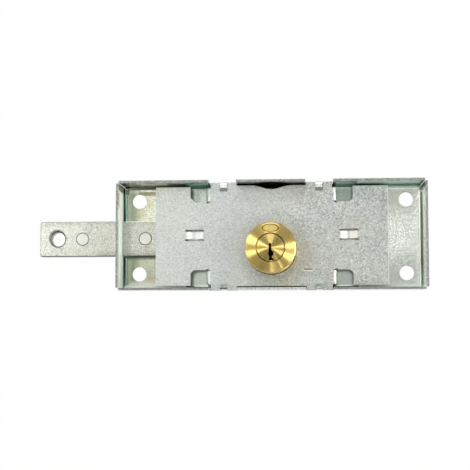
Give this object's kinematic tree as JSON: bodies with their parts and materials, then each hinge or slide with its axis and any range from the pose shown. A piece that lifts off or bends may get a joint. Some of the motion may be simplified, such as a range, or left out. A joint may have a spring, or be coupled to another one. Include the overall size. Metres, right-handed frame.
{
  "type": "roller shutter lock",
  "caption": "Roller shutter lock: a folded steel case with a cover plate, a round brass key cylinder and a flat sliding bolt with a padlock hole.",
  "frame": {"origin": "middle of the case's back face, the face that lies on the shutter", "axes": "+X along the case, away from the bolt's tip; +Z out of the case's front, along the key; +Y up its width, away from the cylinder's side"},
  "size_m": [0.1967, 0.055, 0.026],
  "materials": {
    "galvanised_steel": "matte galvanised sheet",
    "passivated_steel": "zinc plated and passivated sheet, pale yellow-green",
    "bolt_steel": "zinc plated and passivated bar",
    "hard_steel": "plain ground steel",
    "turned_brass": "turned brass with fine lathe rings"
  },
  "bodies": {
    "case": {"case_tray": "passivated_steel", "cover_plate": "galvanised_steel", "guide_post": "hard_steel", "cylinder_body": "turned_brass", "cylinder_screw_1": "hard_steel", "cylinder_screw_2": "hard_steel", "driver_pin_1": "hard_steel", "driver_pin_2": "hard_steel", "driver_pin_3": "hard_steel", "driver_pin_4": "hard_steel", "pin_spring_1": "hard_steel", "pin_spring_2": "hard_steel", "pin_spring_3": "hard_steel", "pin_spring_4": "hard_steel", "chamber_cap_1": "turned_brass", "chamber_cap_2": "turned_brass", "chamber_cap_3": "turned_brass", "chamber_cap_4": "turned_brass"},
    "plug": {"plug": "turned_brass", "key_pin_1": "turned_brass", "key_pin_2": "turned_brass", "key_pin_3": "turned_brass", "key_pin_4": "turned_brass", "drive_pinion": "hard_steel", "plug_screw_1": "hard_steel", "plug_screw_2": "hard_steel"},
    "bolt": {"bolt_bar": "bolt_steel", "bolt_pin_1": "hard_steel", "bolt_pin_2": "hard_steel"}
  },
  "joints": [
    {"name": "plug_turn", "type": "hinge", "parent": "case", "child": "plug", "pos_m": [0, -0.0069, 0], "axis": [0, 0, -1], "range_deg": [0, 360]},
    {"name": "bolt_slide", "type": "slide", "parent": "case", "child": "bolt", "axis": [1, 0, 0], "range_m": [0, 0.022]}
  ],
  "couplings": [
    {"joint": "bolt_slide", "follows": "plug_turn", "m_per_rad": 0.0035}
  ]
}
